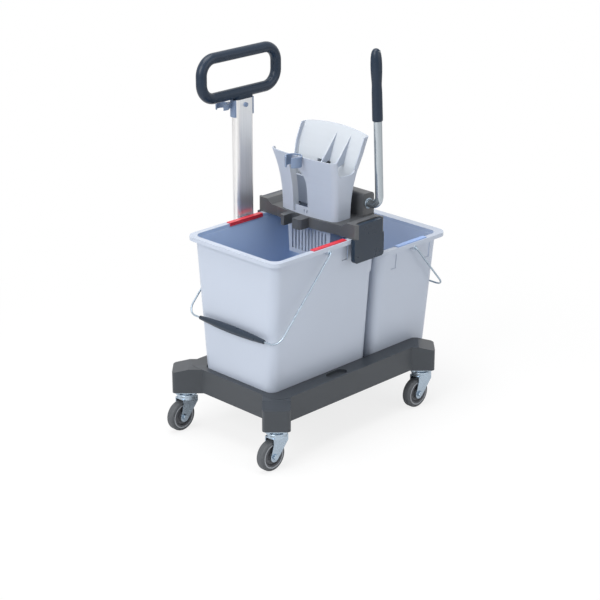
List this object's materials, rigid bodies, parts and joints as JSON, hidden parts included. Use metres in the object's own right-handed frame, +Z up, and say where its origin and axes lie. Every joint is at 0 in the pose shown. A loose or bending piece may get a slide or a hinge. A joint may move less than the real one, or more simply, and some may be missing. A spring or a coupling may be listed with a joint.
{
  "type": "double mop bucket trolley",
  "caption": "Mop bucket trolley on swivel casters: a tall and a low bucket with wire bails, a press wringer worked by a hand lever, and a loop push handle on a mast.",
  "frame": {"origin": "on the floor, in the middle of the trolley's outer box", "axes": "+X along the trolley towards the small bucket, +Y across it towards the push handle's mast, +Z up"},
  "size_m": [0.6582, 0.3964, 0.9326],
  "materials": {
    "base_plastic": "fine moulded grain",
    "frame_plastic": "fine moulded grain",
    "slate_plastic": "satin moulded",
    "slate_grip": "soft satin grip",
    "bucket_plastic": "satin moulded",
    "blue_grey_plastic": "satin moulded",
    "red_plastic": "satin moulded",
    "light_blue_plastic": "satin moulded",
    "mast_aluminium": "brushed and anodised",
    "zinc": "bright zinc plate",
    "lever_steel": "satin chrome",
    "hub_plastic": "moulded",
    "tyre_rubber": "smooth grey rubber"
  },
  "bodies": {
    "chassis": {"base_frame": "base_plastic", "mast_socket": "base_plastic", "socket_bolts": "zinc", "mast": "mast_aluminium", "mast_bolts": "zinc", "handle_loop": "slate_grip", "pole_clip": "blue_grey_plastic", "button_spring": "zinc", "caster_plates": "zinc", "caster_bolts": "zinc", "kingpins": "zinc"},
    "swivel_front_near": {"fork_front_near": "zinc", "axle_front_near": "zinc"},
    "wheel_front_near": {"hub_front_near": "hub_plastic", "tyre_front_near": "tyre_rubber"},
    "swivel_front_far": {"fork_front_far": "zinc", "axle_front_far": "zinc"},
    "wheel_front_far": {"hub_front_far": "hub_plastic", "tyre_front_far": "tyre_rubber"},
    "swivel_rear_near": {"fork_rear_near": "zinc", "axle_rear_near": "zinc"},
    "wheel_rear_near": {"hub_rear_near": "hub_plastic", "tyre_rear_near": "tyre_rubber"},
    "swivel_rear_far": {"fork_rear_far": "zinc", "axle_rear_far": "zinc"},
    "wheel_rear_far": {"hub_rear_far": "hub_plastic", "tyre_rear_far": "tyre_rubber"},
    "large_bucket": {"large_bucket": "bucket_plastic", "large_rim_clips": "red_plastic"},
    "large_bail": {"large_bail": "zinc", "large_bail_grip": "slate_plastic"},
    "small_bucket": {"small_bucket": "bucket_plastic", "small_rim_clips": "light_blue_plastic"},
    "small_bail": {"small_bail": "zinc", "small_bail_grip": "slate_plastic"},
    "press": {"press_frame": "frame_plastic", "hopper": "bucket_plastic", "hopper_screws": "zinc", "sieve_basket": "bucket_plastic", "side_plate_near": "slate_plastic", "side_plate_far": "slate_plastic", "tool_rest": "blue_grey_plastic", "lever_housing": "frame_plastic", "housing_screws": "zinc", "shaft_bushes": "slate_plastic", "return_spring": "zinc"},
    "lever": {"press_lever": "lever_steel", "lever_grip": "slate_grip", "press_arm": "frame_plastic"},
    "press_plate": {"press_plate": "bucket_plastic", "plate_pads": "slate_plastic"},
    "button": {"handle_button": "blue_grey_plastic"}
  },
  "joints": [
    {"name": "swivel_front_near", "type": "hinge", "parent": "chassis", "child": "swivel_front_near", "pos_m": [-0.2716, -0.156, 0.09], "axis": [0, 0, 1], "continuous": true},
    {"name": "wheel_spin_front_near", "type": "hinge", "parent": "swivel_front_near", "child": "wheel_front_near", "pos_m": [-0.2916, -0.156, 0.0375], "axis": [0, 1, 0], "continuous": true},
    {"name": "swivel_front_far", "type": "hinge", "parent": "chassis", "child": "swivel_front_far", "pos_m": [-0.2716, 0.156, 0.09], "axis": [0, 0, 1], "continuous": true},
    {"name": "wheel_spin_front_far", "type": "hinge", "parent": "swivel_front_far", "child": "wheel_front_far", "pos_m": [-0.2916, 0.156, 0.0375], "axis": [0, 1, 0], "continuous": true},
    {"name": "swivel_rear_near", "type": "hinge", "parent": "chassis", "child": "swivel_rear_near", "pos_m": [0.2324, -0.156, 0.09], "axis": [0, 0, 1], "continuous": true},
    {"name": "wheel_spin_rear_near", "type": "hinge", "parent": "swivel_rear_near", "child": "wheel_rear_near", "pos_m": [0.2124, -0.156, 0.0375], "axis": [0, 1, 0], "continuous": true},
    {"name": "swivel_rear_far", "type": "hinge", "parent": "chassis", "child": "swivel_rear_far", "pos_m": [0.2324, 0.156, 0.09], "axis": [0, 0, 1], "continuous": true},
    {"name": "wheel_spin_rear_far", "type": "hinge", "parent": "swivel_rear_far", "child": "wheel_rear_far", "pos_m": [0.2124, 0.156, 0.0375], "axis": [0, 1, 0], "continuous": true},
    {"name": "large_bucket_lift", "type": "slide", "parent": "chassis", "child": "large_bucket", "axis": [0, 0, 1], "range_m": [0, 0.08]},
    {"name": "small_bucket_lift", "type": "slide", "parent": "chassis", "child": "small_bucket", "axis": [0, 0, 1], "range_m": [0, 0.05]},
    {"name": "press_lift", "type": "slide", "parent": "large_bucket", "child": "press", "axis": [0, 0, 1], "range_m": [0, 0.12]},
    {"name": "large_bail_swing", "type": "hinge", "parent": "large_bucket", "child": "large_bail", "pos_m": [-0.0914, 0, 0.4815], "axis": [0, 1, 0], "range_deg": [0, 125]},
    {"name": "small_bail_swing", "type": "hinge", "parent": "small_bucket", "child": "small_bail", "pos_m": [0.2091, 0, 0.4185], "axis": [0, -1, 0], "range_deg": [0, 125]},
    {"name": "lever_press", "type": "hinge", "parent": "press", "child": "lever", "pos_m": [0.0866, 0, 0.5503], "axis": [0, -1, 0], "range_deg": [0, 42], "stiffness_Nm_per_rad": 2.5, "springref_deg": -22.92},
    {"name": "press_plate_slide", "type": "slide", "parent": "press", "child": "press_plate", "axis": [-1, 0, 0], "range_m": [0, 0.03]},
    {"name": "button_push", "type": "slide", "parent": "chassis", "child": "button", "axis": [0, 1, 0], "range_m": [0, 0.003], "stiffness_N_per_m": 300, "springref_m": -0.002}
  ],
  "couplings": [
    {"joint": "press_plate_slide", "follows": "lever_press", "m_per_rad": 0.0409}
  ]
}
